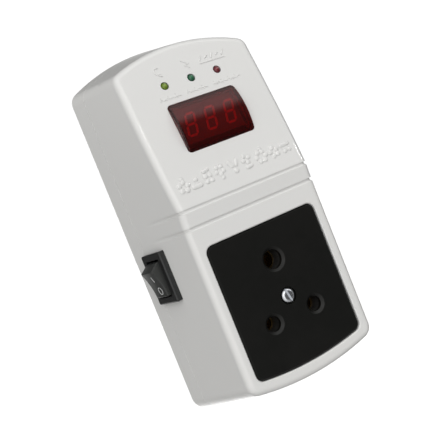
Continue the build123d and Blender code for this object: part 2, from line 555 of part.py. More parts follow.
spring = cx(0, 0, 0.72, -5.4, -2.25) - cx(0, 0, 0.48, -6, -2)
parts["plunger_spring"] = SW * rocker_frame(spring)

LEVER_X = -8.35
lever = bx(LEVER_X - 0.3, LEVER_X + 0.3, -2.2, 2.2, -5.6, 5.6)
lever = lever + cx(0, -4.6, 1.0, LEVER_X - 0.7, LEVER_X)
lever = Pos(LEVER_X, 0, 0) * Rot(0, -LEVER_TILT, 0) * Pos(-LEVER_X, 0, 0) * lever
parts["contact_lever"] = SW * lever
t1 = bx(-20.5, LEVER_X - 0.55, -2.4, 2.4, -0.38, 0.38)
t2 = bx(-20.5, -10.3, -2.4, 2.4, -5.98, -5.22) + bx(-10.55, -10.2, -2.4, 2.4, -6.0, -3.4) + cx(0, -4.6, 1.0, -10.4, -9.85)
parts["switch_common_terminal"] = SW * t1
parts["switch_load_terminal"] = SW * t2

# --------------------------------------------------------------------- wires
WR = 1.0


def up_pt(x, yl, zl):
    a = math.radians(SLOPE_A)
    return (x, UP_Y + zl * math.sin(a) + yl * math.cos(a), UP_Z + zl * math.cos(a) - yl * math.sin(a))


def sw_pt(xl, yl, zl):
    a = math.radians(SW_ANGLE)
    ox, oy = -HALF_W0 - SIDE_DRAFT * SW_Y, SW_Y
    return (ox + xl * math.cos(a) - yl * math.sin(a), oy + xl * math.sin(a) + yl * math.cos(a), SW_Z + zl)


def block_end(x):
    return [up_pt(x, 17.0, -27.0), up_pt(x, 17.0, -17.2)]


PX = PIN_PITCH / 2
parts["neutral_wire"] = tube([(-9.9, 29.9, 0), (-19.5, 29.9, 0), (-19.5, 20.0, 0), (-9.9, 20.0, 0)], [4.4, 4.4], WR)
parts["earth_wire"] = tube([(0.6, 29.9, EARTH_RISE), (11.0, 29.9, EARTH_RISE), (11.0, 23.6, EARTH_RISE), (0.6, 23.6, EARTH_RISE)], [2.9, 2.9], WR)
c1 = sw_pt(-20.55, 0, 0)
c1b = sw_pt(-26.5, 0, 0)
parts["line_wire"] = tube([(8.9, 29.9, 0), (19.0, 29.9, 0), (19.0, 29.9, 43.0), (c1b[0], c1b[1], 43.0), c1b, c1], [5.0, 5.0, 4.0, 2.4], WR)
c2 = sw_pt(-20.55, 0, -5.6)
c2b = sw_pt(-24.0, 0, -5.6)
bl = block_end(TX[0])
parts["switched_wire"] = tube([c2, c2b, (c2b[0], 20.5, c2b[2]), (c2b[0], 20.5, 42.0), bl[0], bl[1]], [1.6, 3.0, 4.0, 3.0], WR)
bl = block_end(TX[2])
parts["load_wire"] = tube([bl[1], bl[0], (24.5, 20.0, 43.0), (24.5, 20.0, 0.0), (9.0, 20.0, 0.0)], [3.0, 5.0, 5.0], WR)
bl = block_end(TX[1])
parts["sense_wire"] = tube([(-9.1, 20.0, 0), (-1.0, 20.0, 0), (-1.0, 20.0, 9.0), (12.5, 20.0, 13.5), bl[0], bl[1]], [3.0, 3.0, 5.0, 4.0], WR)

# -------------------------------------------------------------------- export
os.makedirs("parts", exist_ok=True)
MOVE = Location((0, -DEPTH, -ORIGIN_Z))
for name, shape in parts.items():
    solids = []
    for s in (shape if isinstance(shape, list) else [shape]):
        solids += list(s.solids())
    solids = [s.moved(MOVE) for s in solids]
    out = solids[0] if len(solids) == 1 else Compound(children=solids)
    export_step(out, "parts/%s.step" % name)
print("nodes", len(parts))
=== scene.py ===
import bpy, bmesh, math
import numpy as np
from mathutils import Vector, Matrix


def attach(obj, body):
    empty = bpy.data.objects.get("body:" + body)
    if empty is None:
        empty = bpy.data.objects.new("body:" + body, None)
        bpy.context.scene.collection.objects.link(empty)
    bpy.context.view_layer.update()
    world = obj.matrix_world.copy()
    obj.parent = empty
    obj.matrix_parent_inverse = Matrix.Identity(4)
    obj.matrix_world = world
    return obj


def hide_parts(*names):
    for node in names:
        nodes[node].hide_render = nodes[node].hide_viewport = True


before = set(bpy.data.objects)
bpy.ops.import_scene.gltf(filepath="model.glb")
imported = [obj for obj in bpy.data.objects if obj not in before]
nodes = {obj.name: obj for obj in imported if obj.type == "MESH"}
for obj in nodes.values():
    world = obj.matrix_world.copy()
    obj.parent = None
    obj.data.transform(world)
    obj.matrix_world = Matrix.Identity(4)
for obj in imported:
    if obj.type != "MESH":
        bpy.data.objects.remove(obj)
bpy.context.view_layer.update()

# Plug-in mains voltage tester with a pass-through outlet.
# Lengths are given in the CAD model's own construction frame, in mm:
# x right, y into the housing from the lower front face, z up from the outlet's
# line and neutral holes. W() turns them into the row frame, in metres.

scene = bpy.context.scene
DEPTH, ORIGIN_Z = 39.0, 11.1


def W(x, y, z):
    return Vector((x / 1000.0, (y - DEPTH) / 1000.0, (z - ORIGIN_Z) / 1000.0))


SL = math.atan(0.194)
SN, CS = math.sin(SL), math.cos(SL)


def U(x, y, z):
    """Upper front face frame: y into the housing, z up the slope."""
    return W(x, 4.848 + z * SN + y * CS, 80.0 + z * CS - y * SN)


ND = math.atan(0.265)


def S(a, b, c):
    """Switch frame: a outward of the left wall, b towards the front, c up."""
    n = (-math.cos(ND), -math.sin(ND))
    t = (math.sin(ND), -math.cos(ND))
    return W(-34.907 + a * n[0] + b * t[0], 23.8 + a * n[1] + b * t[1], 30.7 + c)


TILT = math.radians(15.0)


def R(a, b, c):
    """Rocker frame at rest, inside the switch frame."""
    return S(0.5 + a * math.cos(TILT) + c * math.sin(TILT), b, -a * math.sin(TILT) + c * math.cos(TILT))


# ------------------------------------------------------------------ camera
C_POS = Vector((-0.11802880, -0.27178754, 0.04451714))
RIGHT = Vector((0.84042085, -0.39305734, -0.37309344))
DOWN = Vector((-0.35938139, 0.11107906, -0.92655624))
FWD = Vector((0.4056326, 0.91278002, -0.04790434))
cam_data = bpy.data.cameras.new("camera")
cam_data.sensor_width = 36.0
cam_data.lens = 36.0 * 700.0 / 441.0
cam_data.clip_start, cam_data.clip_end = 0.01, 20.0
cam = bpy.data.objects.new("camera", cam_data)
scene.collection.objects.link(cam)
cam.matrix_world = Matrix(((RIGHT.x, -DOWN.x, -FWD.x, C_POS.x),
                           (RIGHT.y, -DOWN.y, -FWD.y, C_POS.y),
                           (RIGHT.z, -DOWN.z, -FWD.z, C_POS.z),
                           (0, 0, 0, 1)))
scene.camera = cam
scene.view_settings.view_transform = "Standard"
scene.view_settings.look = "None"
scene.view_settings.exposure = 0.0
scene.view_settings.gamma = 1.0


# --------------------------------------------------------------- materials
def inp(node, name, value):
    node.inputs[name].default_value = value


class Mat:
    """A Principled material built up from procedural layers."""

    def __init__(self, name, base, rough=0.4, metal=0.0, **sockets):
        self.m = bpy.data.materials.new(name)
        self.m.use_nodes = True
        self.t = self.m.node_tree
        self.t.nodes.clear()
        self.out = self.t.nodes.new("ShaderNodeOutputMaterial")
        self.b = self.t.nodes.new("ShaderNodeBsdfPrincipled")
        self.t.links.new(self.b.outputs[0], self.out.inputs[0])
        self.tc = self.t.nodes.new("ShaderNodeTexCoord")
        self.vec = self.tc.outputs["Object"]
        self.col = None
        self.base = (*base, 1.0)
        self.rgh = None
        self.rough = rough
        self.nrm = None
        inp(self.b, "Base Color", self.base)
        inp(self.b, "Roughness", rough)
        inp(self.b, "Metallic", metal)
        for k, v in sockets.items():
            inp(self.b, k.replace("_", " "), v)

    def new(self, kind, **props):
        n = self.t.nodes.new(kind)
        for k, v in props.items():
            setattr(n, k, v)
        return n

    def link(self, a, b):
        self.t.links.new(a, b)

    def coords(self, scale=(1, 1, 1), rot=(0, 0, 0)):
        n = self.new("ShaderNodeMapping")
        inp(n, "Scale", scale)
        inp(n, "Rotation", rot)
        self.link(self.vec, n.inputs["Vector"])
        return n.outputs[0]

    def noise(self, scale, detail=3.0, rough=0.5, dist=0.0, vec=None):
        n = self.new("ShaderNodeTexNoise")
        inp(n, "Scale", scale)
        inp(n, "Detail", detail)
        inp(n, "Roughness", rough)
        inp(n, "Distortion", dist)
        self.link(vec or self.vec, n.inputs["Vector"])
        return n.outputs["Fac"]

    def voronoi(self, scale, feature="F1", vec=None, rnd=1.0):
        n = self.new("ShaderNodeTexVoronoi", feature=feature)
        inp(n, "Scale", scale)
        inp(n, "Randomness", rnd)
        self.link(vec or self.vec, n.inputs["Vector"])
        return n.outputs["Distance"]

    def wave(self, scale, direction="X", dist=0.0, detail=2.0, vec=None, kind="BANDS"):
        n = self.new("ShaderNodeTexWave", wave_type=kind)
        if kind == "BANDS":
            n.bands_direction = direction
        else:
            n.rings_direction = direction
        inp(n, "Scale", scale)
        inp(n, "Distortion", dist)
        inp(n, "Detail", detail)
        self.link(vec or self.vec, n.inputs["Vector"])
        return n.outputs["Fac"]

    def ramp(self, fac, lo, hi, a=0.0, b=1.0):
        n = self.new("ShaderNodeMapRange", interpolation_type="SMOOTHSTEP")
        inp(n, "From Min", lo)
        inp(n, "From Max", hi)
        inp(n, "To Min", a)
        inp(n, "To Max", b)
        self.link(fac, n.inputs["Value"])
        return n.outputs["Result"]

    def tint(self, fac, colour, amount=1.0, blend="MIX"):
        """Lays a colour over what is there, where fac is high."""
        n = self.new("ShaderNodeMix", data_type="RGBA", blend_type=blend)
        if amount != 1.0:
            k = self.new("ShaderNodeMath", operation="MULTIPLY")
            k.inputs[1].default_value = amount
            self.link(fac, k.inputs[0])
            fac = k.outputs[0]
        self.link(fac, n.inputs[0])
        if self.col is None:
            n.inputs[6].default_value = self.base
        else:
            self.link(self.col, n.inputs[6])
        n.inputs[7].default_value = (*colour, 1.0)
        self.col = n.outputs[2]
        self.link(self.col, self.b.inputs["Base Color"])
        return self

    def roughen(self, fac, lo, hi):
        n = self.new("ShaderNodeMapRange")
        inp(n, "To Min", lo)
        inp(n, "To Max", hi)
        self.link(fac, n.inputs["Value"])
        if self.rgh is None:
            self.rgh = n.outputs["Result"]
        else:
            a = self.new("ShaderNodeMath", operation="ADD")
            self.link(self.rgh, a.inputs[0])
            self.link(n.outputs["Result"], a.inputs[1])
            self.rgh = a.outputs[0]
        self.link(self.rgh, self.b.inputs["Roughness"])
        return self

    def bump(self, fac, strength, distance):
        n = self.new("ShaderNodeBump")
        inp(n, "Strength", strength)
        inp(n, "Distance", distance)
        self.link(fac, n.inputs["Height"])
        if self.nrm is not None:
            self.link(self.nrm, n.inputs["Normal"])
        self.nrm = n.outputs["Normal"]
        self.link(self.nrm, self.b.inputs["Normal"])
        return self

    # Painted shade: a mask from local ambient occlusion, high in creases and recesses where shade falls, used to darken
    # the base colour there.
    def painted_crevice_shade(self, distance=0.0008, samples=4):
        n = self.new("ShaderNodeAmbientOcclusion", samples=samples, only_local=True)
        inp(n, "Distance", distance)
        return self.ramp(n.outputs["AO"], 0.15, 0.75, 1.0, 0.0)

    def edge(self, radius=0.0004, lo=0.02, hi=0.25):
        """High on sharp edges: how far the rounded normal leans from the true one."""
        bv = self.new("ShaderNodeBevel", samples=4)
        inp(bv, "Radius", radius)
        g = self.new("ShaderNodeNewGeometry")
        d = self.new("ShaderNodeVectorMath", operation="DOT_PRODUCT")
        self.link(bv.outputs[0], d.inputs[0])
        self.link(g.outputs["Normal"], d.inputs[1])
        return self.ramp(d.outputs["Value"], 1.0 - lo, 1.0 - hi, 0.0, 1.0)


def plastic(name, base, rough, light, dark, grain=3200, grain_amt=0.06, peel=420, peel_amt=0.03, **k):
    """Moulded plastic: slow colour drift, flow marks, orange peel and fine grain."""
    m = Mat(name, base, rough, **k)
    m.tint(m.ramp(m.noise(38, 3, 0.55), 0.35, 0.7), light)
    m.tint(m.ramp(m.noise(110, 4, 0.6, 0.6), 0.55, 0.8), dark)
    m.roughen(m.noise(260, 4, 0.6), rough - 0.05, rough + 0.06)
    m.bump(m.noise(peel, 2, 0.4), 1.0, peel_amt * 1e-3)
    m.bump(m.noise(grain, 2, 0.5), 1.0, grain_amt * 1e-4)
    return m


def metal(name, base, rough, tarnish, brush="X", **k):
    """Bare or plated metal: brushed or turned lines, tarnish and small pits."""
    m = Mat(name, base, rough, 1.0, **k)
    m.tint(m.ramp(m.noise(420, 4, 0.65, 0.8), 0.5, 0.78), tarnish)
    sc = {"X": (1, 14, 14), "Y": (14, 1, 14), "Z": (14, 14, 1)}[brush]
    lines = m.noise(700, 3, 0.6, vec=m.coords(sc))
    m.roughen(lines, rough - 0.08, rough + 0.12)
    m.bump(lines, 1.0, 4e-6)
    m.bump(m.voronoi(1500), 0.6, 3e-6)
    return m


MAT = {}

# white ABS shell
m = Mat("white_shell", (0.80, 0.798, 0.788), 0.31, Coat_Weight=0.35, Coat_Roughness=0.07)
m.tint(m.ramp(m.noise(26, 3, 0.5), 0.35, 0.72), (0.806, 0.803, 0.791))
m.tint(m.ramp(m.noise(70, 2, 0.5, 0.3), 0.55, 0.85), (0.790, 0.786, 0.774), 0.6)
m.tint(m.ramp(m.noise(1400, 2, 0.5), 0.74, 0.82), (0.70, 0.685, 0.65), 0.25)
# painted shade: darkens the shell colour in creases, grooves and recesses
m.tint(m.painted_crevice_shade(0.0007), (0.52, 0.50, 0.47), 0.5)
m.roughen(m.noise(140, 2, 0.5), 0.29, 0.34)
m.bump(m.noise(160, 2, 0.4), 1.0, 7e-6)
m.bump(m.noise(1500, 1, 0.4), 1.0, 4e-7)
MAT["white_shell"] = m

m = plastic("black_cover", (0.0062, 0.0064, 0.0056), 0.35, (0.0078, 0.0076, 0.0068), (0.0046, 0.0048, 0.0043), peel=300, peel_amt=0.012, grain_amt=0.02, Specular_IOR_Level=0.30)
m.tint(m.edge(0.0005), (0.018, 0.020, 0.015), 0.35)
m.tint(m.ramp(m.noise(900, 3, 0.6, vec=m.coords((1, 1, 0.08), (0, 0.25, 0))), 0.66, 0.8), (0.014, 0.0132, 0.012), 0.5)
MAT["black_cover"] = m

m = plastic("black_switch", (0.013, 0.0138, 0.0138), 0.40, (0.017, 0.0178, 0.0178), (0.010, 0.0105, 0.0105), grain=2400, grain_amt=0.12)
m.tint(m.edge(0.00035), (0.05, 0.051, 0.051), 0.5)
MAT["black_switch"] = m

m = plastic("rocker_face", (0.036, 0.0375, 0.036), 0.40, (0.043, 0.045, 0.043), (0.030, 0.031, 0.030), grain=2600, grain_amt=0.14)
m.tint(m.edge(0.0003), (0.13, 0.13, 0.128), 0.5)
MAT["rocker_face"] = m

m = Mat("mark_print", (0.66, 0.67, 0.67), 0.5)
m.tint(m.ramp(m.noise(3200, 3, 0.6), 0.42, 0.62), (0.50, 0.51, 0.51))
m.roughen(m.noise(900, 3), 0.42, 0.6)
m.bump(m.noise(4200, 2), 0.6, 4e-6)
MAT["mark_print"] = m

m = Mat("red_lens", (0.58, 0.045, 0.040), 0.03, IOR=1.40, Transmission_Weight=0.955, Specular_IOR_Level=0.42)
m.tint(m.ramp(m.noise(60, 3, 0.5), 0.4, 0.7), (0.53, 0.040, 0.038))
m.roughen(m.noise(500, 3, 0.6), 0.015, 0.06)
m.bump(m.noise(170, 2, 0.4), 1.0, 9e-6)
MAT["red_lens"] = m

m = plastic("display_black", (0.16, 0.085, 0.080), 0.5, (0.19, 0.10, 0.09), (0.13, 0.07, 0.065))
MAT["display_black"] = m

# Painted glow: the display segments are unlit, but a faint red emission makes them glow through the lens.
m = Mat("segment_red", (0.70, 0.07, 0.05), 0.45, Emission_Color=(1.0, 0.03, 0.015, 1), Emission_Strength=0.06)
m.tint(m.ramp(m.noise(900, 3, 0.6), 0.4, 0.7), (0.58, 0.05, 0.035))
m.roughen(m.noise(1600, 3), 0.36, 0.5)
m.bump(m.noise(2600, 2), 0.8, 5e-6)
MAT["segment_red"] = m


def led_mat(name, centre, deep, core, x):
    """Tinted epoxy: a paler core over the reflector cup, deeper towards the rim."""
    m = Mat(name, deep, 0.22, IOR=1.5, Transmission_Weight=0.12, Subsurface_Weight=0.35,
            Subsurface_Radius=(0.6, 0.6, 0.6), Subsurface_Scale=0.0012, Coat_Weight=0.2, Coat_Roughness=0.05)
    g = m.new("ShaderNodeVectorMath", operation="DISTANCE")
    c = U(x, -0.6, 17.7)
    g.inputs[1].default_value = c
    m.link(m.vec, g.inputs[0])
    d = g.outputs["Value"]
    m.tint(m.ramp(d, 0.00155, 0.0004), centre)
    m.tint(m.ramp(d, 0.0007, 0.00015), core, 0.8)
    m.tint(m.ramp(m.noise(900, 3, 0.5), 0.5, 0.8), deep, 0.25)
    m.roughen(m.noise(1200, 3), 0.18, 0.27)
    m.bump(m.noise(600, 2), 0.8, 6e-6)
    return m


MAT["led_yellow_green"] = led_mat("led_yellow_green", (0.17, 0.27, 0.010), (0.15, 0.24, 0.008), (0.36, 0.50, 0.10), -11.55)
MAT["led_green"] = led_mat("led_green", (0.016, 0.15, 0.065), (0.013, 0.12, 0.055), (0.045, 0.24, 0.11), 0.0)
MAT["led_red"] = led_mat("led_red", (0.19, 0.012, 0.022), (0.15, 0.010, 0.020), (0.34, 0.07, 0.07), 11.55)

m = Mat("board_green", (0.018, 0.12, 0.045), 0.32, Coat_Weight=0.3, Coat_Roughness=0.15)
m.tint(m.ramp(m.voronoi(190, "DISTANCE_TO_EDGE", rnd=0.25), 0.05, 0.09, 1.0, 0.0), (0.03, 0.19, 0.065), 0.7)
m.tint(m.ramp(m.noise(260, 3, 0.6), 0.5, 0.75), (0.014, 0.09, 0.035))
m.roughen(m.noise(500, 3), 0.25, 0.42)
m.bump(m.wave(900, "X", 0.2, 1.0), 0.5, 5e-6)
m.bump(m.wave(900, "Z", 0.2, 1.0), 0.5, 5e-6)
MAT["board_green"] = m

MAT["zinc_steel"] = metal("zinc_steel", (0.66, 0.68, 0.71), 0.24, (0.47, 0.49, 0.53))
MAT["soft_iron"] = metal("soft_iron", (0.42, 0.41, 0.40), 0.38, (0.27, 0.25, 0.23), "Z")
MAT["brass"] = metal("brass", (0.78, 0.57, 0.25), 0.24, (0.52, 0.35, 0.13), "X")
# Painted shade: the socket sleeves are the same brass as the pins, given a much darker colour because they sit in shade
# deep inside the socket holes.
MAT["brass_painted_shade"] = metal("brass_painted_shade", (0.17, 0.115, 0.045), 0.26, (0.06, 0.04, 0.018), "Y")
MAT["contact_copper"] = metal("contact_copper", (0.80, 0.47, 0.32), 0.28, (0.52, 0.26, 0.16), "Z")
MAT["spring_steel"] = metal("spring_steel", (0.55, 0.55, 0.56), 0.22, (0.34, 0.32, 0.30), "X")
MAT["end_cap"] = metal("end_cap", (0.74, 0.72, 0.66), 0.20, (0.50, 0.47, 0.41), "X")
m = metal("winding", (0.74, 0.30, 0.11), 0.22, (0.48, 0.17, 0.06), "Z", Coat_Weight=0.6, Coat_Roughness=0.08)
MAT["winding"] = m
MAT["solder"] = metal("solder", (0.62, 0.62, 0.63), 0.3, (0.45, 0.45, 0.46), "Z")

MAT["carrier_grey"] = plastic("carrier_grey", (0.035, 0.034, 0.033), 0.45, (0.045, 0.044, 0.042), (0.026, 0.025, 0.025), grain_amt=0.2)
MAT["relay_black"] = plastic("relay_black", (0.025, 0.025, 0.026), 0.42, (0.032, 0.032, 0.033), (0.018, 0.018, 0.018))
m = plastic("relay_blue", (0.04, 0.14, 0.44), 0.22, (0.05, 0.17, 0.50), (0.03, 0.11, 0.36), Transmission_Weight=0.35, IOR=1.5)
MAT["relay_blue"] = m
MAT["film_yellow"] = plastic("film_yellow", (0.70, 0.47, 0.06), 0.35, (0.76, 0.53, 0.09), (0.60, 0.38, 0.04), grain_amt=0.25)
m = plastic("can_black", (0.02, 0.02, 0.024), 0.3, (0.028, 0.028, 0.034), (0.014, 0.014, 0.016))
m.bump(m.wave(120, "Z", 1.0, 2.0), 0.3, 1e-5)
MAT["can_black"] = m
MAT["disc_blue"] = plastic("disc_blue", (0.03, 0.10, 0.36), 0.3, (0.04, 0.13, 0.42), (0.02, 0.07, 0.28), peel=700, peel_amt=0.05)
m = Mat("clear_glass", (0.93, 0.96, 0.95), 0.03, IOR=1.5, Transmission_Weight=1.0)
m.tint(m.ramp(m.noise(120, 3, 0.5), 0.5, 0.8), (0.86, 0.92, 0.90))
m.roughen(m.noise(700, 3), 0.02, 0.07)
m.bump(m.noise(300, 2), 1.0, 8e-6)
MAT["clear_glass"] = m
MAT["resistor_tan"] = plastic("resistor_tan", (0.56, 0.40, 0.22), 0.35, (0.62, 0.46, 0.27), (0.46, 0.31, 0.16), grain_amt=0.2)
MAT["terminal_green"] = plastic("terminal_green", (0.03, 0.26, 0.10), 0.38, (0.04, 0.31, 0.13), (0.02, 0.20, 0.07), grain_amt=0.15)
for n, c, l, d in (("wire_red", (0.42, 0.02, 0.02), (0.50, 0.03, 0.03), (0.32, 0.012, 0.012)),
                   ("wire_brown", (0.13, 0.05, 0.02), (0.17, 0.07, 0.03), (0.09, 0.035, 0.015)),
                   ("wire_black", (0.018, 0.018, 0.018), (0.026, 0.026, 0.026), (0.012, 0.012, 0.012)),
                   ("wire_green", (0.03, 0.24, 0.05), (0.04, 0.30, 0.07), (0.02, 0.17, 0.03))):
    m = plastic(n, c, 0.38, l, d, grain=1800, grain_amt=0.3)
    m.bump(m.wave(260, "X", 3.0, 2.0), 0.3, 1e-5)
    MAT[n] = m
for n, c in (("band_brown", (0.10, 0.035, 0.012)), ("band_black", (0.01, 0.01, 0.01)), ("band_orange", (0.72, 0.20, 0.02)), ("band_gold", (0.60, 0.42, 0.14))):
    m = plastic(n, c, 0.35, tuple(min(1, v * 1.15) for v in c), tuple(v * 0.8 for v in c))
    MAT[n] = m
m = plastic("silk_white", (0.62, 0.63, 0.60), 0.5, (0.68, 0.69, 0.66), (0.52, 0.53, 0.50))
MAT["silk_white"] = m

SLOT = {
    "front_housing": "white_shell", "rear_housing": "white_shell", "housing_screws": "zinc_steel",
    "display_window": "red_lens", "display_module": "display_black", "display_segments": "segment_red",
    "led_normal": "led_yellow_green", "led_power": "led_green", "led_fault": "led_red",
    "control_board": "board_green", "board_screws": "zinc_steel", "relay_base": "relay_black",
    "relay_core": "soft_iron", "relay_bobbin": "relay_black", "relay_coil": "winding", "relay_yoke": "soft_iron",
    "relay_armature": "soft_iron", "relay_contact_spring": "contact_copper", "relay_fixed_contact": "contact_copper",
    "relay_case": "relay_blue", "dropper_capacitor": "film_yellow", "filter_capacitor": "can_black",
    "varistor": "disc_blue", "fuse_glass": "clear_glass", "fuse_end_caps": "end_cap", "fuse_clips": "end_cap",
    "microcontroller": "relay_black", "voltage_regulator": "relay_black", "resistors": "resistor_tan",
    "terminal_block": "terminal_green", "terminal_block_screws": "zinc_steel", "outlet_cover_plate": "black_cover",
    "contact_carrier": "carrier_grey", "threaded_insert": "brass", "outlet_screw": "zinc_steel",
    # the socket sleeves take the darkened brass, which is painted shade
    "neutral_sleeve": "brass_painted_shade", "line_sleeve": "brass_painted_shade", "earth_sleeve": "brass_painted_shade", "sleeve_screws": "zinc_steel",
    "neutral_pin": "brass", "line_pin": "brass", "earth_pin": "brass", "pin_screws": "zinc_steel",
    "pin_carrier": "carrier_grey", "carrier_screws": "zinc_steel", "switch_frame": "black_switch",
    "rocker_button": "rocker_face", "plunger": "brass", "plunger_spring": "spring_steel",
    "contact_lever": "contact_copper", "switch_common_terminal": "contact_copper", "switch_load_terminal": "contact_copper",
    "neutral_wire": "wire_black", "earth_wire": "wire_green", "line_wire": "wire_red", "switched_wire": "wire_brown",
    "load_wire": "wire_red", "sense_wire": "wire_black"}


def paint(o, mat):
    o.data.materials.clear()
    o.data.materials.append(MAT[mat].m)


for name, o in nodes.items():
    paint(o, SLOT[name])


# ----------------------------------------------------------- mesh building
def add(name, verts, faces, mat, body, smooth=True, angle=None, replaces=()):
    me = bpy.data.meshes.new(name)
    me.from_pydata([tuple(v) for v in verts], [], [tuple(f) for f in faces])
    me.validate()
    bm = bmesh.new()
    bm.from_mesh(me)
    bmesh.ops.recalc_face_normals(bm, faces=bm.faces)
    bm.to_mesh(me)
    bm.free()
    for p in me.polygons:
        p.use_smooth = smooth
    if angle is not None:
        me.set_sharp_from_angle(angle=math.radians(angle))
    o = bpy.data.objects.new(name, me)
    scene.collection.objects.link(o)
    me.materials.append(MAT[mat].m)
    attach(o, body)
    for n in replaces:
        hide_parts(n)
    return o


def bake(o):
    """Applies the modifiers, so the piece is plain mesh."""
    dg = bpy.context.evaluated_depsgraph_get()
    me = bpy.data.meshes.new_from_object(o.evaluated_get(dg))
    o.modifiers.clear()
    o.data = me
    return o


def ring_mesh(profile, place, n=48, closed=True, cap=False):
    """Turns (radius, height) points round an axis; place(x, y, h) maps them."""
    v, f = [], []
    k = len(profile)
    for i in range(n):
        a = 2 * math.pi * i / n
        for r, h in profile:
            v.append(place(r * math.cos(a), r * math.sin(a), h))
    for i in range(n):
        j = (i + 1) % n
        for q in range(k if closed else k - 1):
            p = (q + 1) % k
            f.append((i * k + q, j * k + q, j * k + p, i * k + p))
    if cap:
        f.append([i * k for i in range(n)][::-1])
        f.append([i * k + k - 1 for i in range(n)])
    return v, f


def sweep_tube(pts, r, n=8, closed=False):
    """A round tube along points, with carried frames and rounded ends."""
    P = [Vector(p) for p in pts]
    m = len(P)
    T = []
    for i in range(m):
        a = P[(i - 1) % m] if closed or i > 0 else P[i]
        b = P[(i + 1) % m] if closed or i < m - 1 else P[i]
        T.append((b - a).normalized())
    u = T[0].orthogonal().normalized()
    v, f = [], []
    for i in range(m):
        u = (u - T[i] * u.dot(T[i])).normalized()
        w = T[i].cross(u)
        for k in range(n):
            a = 2 * math.pi * k / n
            v.append(P[i] + (u * math.cos(a) + w * math.sin(a)) * r)
    for i in range(m if closed else m - 1):
        j = (i + 1) % m
        for k in range(n):
            l = (k + 1) % n
            f.append((i * n + k, i * n + l, j * n + l, j * n + k))
    if not closed:
        for end, i, s in ((0, 0, -1), (1, m - 1, 1)):
            c = len(v)
            v.append(P[i] + T[i] * (s * r * 0.45))
            for k in range(n):
                l = (k + 1) % n
                f.append((c, i * n + l, i * n + k) if s < 0 else (c, i * n + k, i * n + l))
    return v, f


def merge(parts):
    v, f = [], []
    for pv, pf in parts:
        o = len(v)
        v += list(pv)
        f += [tuple(i + o for i in face) for face in pf]
    return v, f


# ---------------------------------------------- raised marks on the front
def arc(cx, cz, r, a0, a1, n=14, rz=None):
    rz = rz or r
    return [(cx + r * math.cos(math.radians(a0 + (a1 - a0) * i / n)), cz + rz * math.sin(math.radians(a0 + (a1 - a0) * i / n))) for i in range(n + 1)]


def relief(name, strokes, height, place, step=0.14, sink=0.05, shoulder=0.55, mat="white_shell"):
    """Soft raised strokes moulded in one surface. strokes: (points, half width)."""
    xs = [p[0] for s, w in strokes for p in s]
    zs = [p[1] for s, w in strokes for p in s]
    pad = max(w for s, w in strokes) + 2 * step
    gx = np.arange(min(xs) - pad, max(xs) + pad, step)
    gz = np.arange(min(zs) - pad, max(zs) + pad, step)
    X, Z = np.meshgrid(gx, gz, indexing="ij")
    H = np.full(X.shape, -9.0)
    for s, w in strokes:
        for (ax, az), (bx_, bz) in zip(s[:-1], s[1:]):
            dx, dz = bx_ - ax, bz - az
            L = dx * dx + dz * dz + 1e-12
            t = np.clip(((X - ax) * dx + (Z - az) * dz) / L, 0, 1)
            d = np.hypot(X - ax - t * dx, Z - az - t * dz)
            H = np.maximum(H, (w - d) / w)
    inside = H > -0.15
    q = np.clip(H / shoulder, 0, 1)
    h = height * np.sqrt(np.clip(1 - (1 - q) ** 2, 0, 1)) - sink
    h = np.where(H <= 0, -sink, h)
    keep = np.zeros(X.shape, bool)
    keep[:-1, :-1] = inside[:-1, :-1] & inside[1:, :-1] & inside[:-1, 1:] & inside[1:, 1:]
    idx = -np.ones(X.shape, int)
    verts, faces = [], []

    def vid(i, j):
        if idx[i, j] < 0:
            idx[i, j] = len(verts)
            verts.append(place(X[i, j], -h[i, j], Z[i, j]))
        return idx[i, j]
    for i, j in zip(*np.nonzero(keep)):
        faces.append((vid(i, j), vid(i + 1, j), vid(i + 1, j + 1), vid(i, j + 1)))
    # a base under the marks, inside the shell wall, closes the surface
    n0 = len(verts)
    low = {}
    under = []
    for f in faces:
        under.append(tuple(k + n0 for k in reversed(f)))
    pts = list(zip(*np.nonzero(idx >= 0)))
    pts.sort(key=lambda p: idx[p])
    base = [place(X[p], 0.25, Z[p]) for p in pts]
    edge_count = {}
    for f in faces:
        for a, b in zip(f, f[1:] + f[:1]):
            edge_count[(a, b)] = edge_count.get((a, b), 0) + 1
    side = []
    for (a, b) in edge_count:
        if (b, a) not in edge_count:
            side.append((b, a, a + n0, b + n0))
    return add(name, verts + base, faces + under + side, mat, "housing")


def bolt(cx, cz, s):
    return [(cx + 0.5 * s, cz + 1.5 * s), (cx - 0.55 * s, cz - 0.05 * s), (cx + 0.55 * s, cz + 0.1 * s), (cx - 0.5 * s, cz - 1.5 * s)]


def wave_pts(cx, cz, w, h, n=20):
    return [(cx - w / 2 + w * i / n, cz + h * math.sin(2 * math.pi * i / n)) for i in range(n + 1)]


ZR = -20.4        # row of large soft pads, in the upper face frame
big = []
q = 0.80


def dot(x, z, r):
    return ([(x, z), (x + 0.01, z)], r)


def petals(x, z, n, r, w, turn=0.0):
    """A ring of merged pads round a small open centre."""
    a_ = [math.radians(turn + 360.0 * i / n) for i in range(n)]
    return [dot(x + r * math.cos(t), z + r * math.sin(t), w) for t in a_]


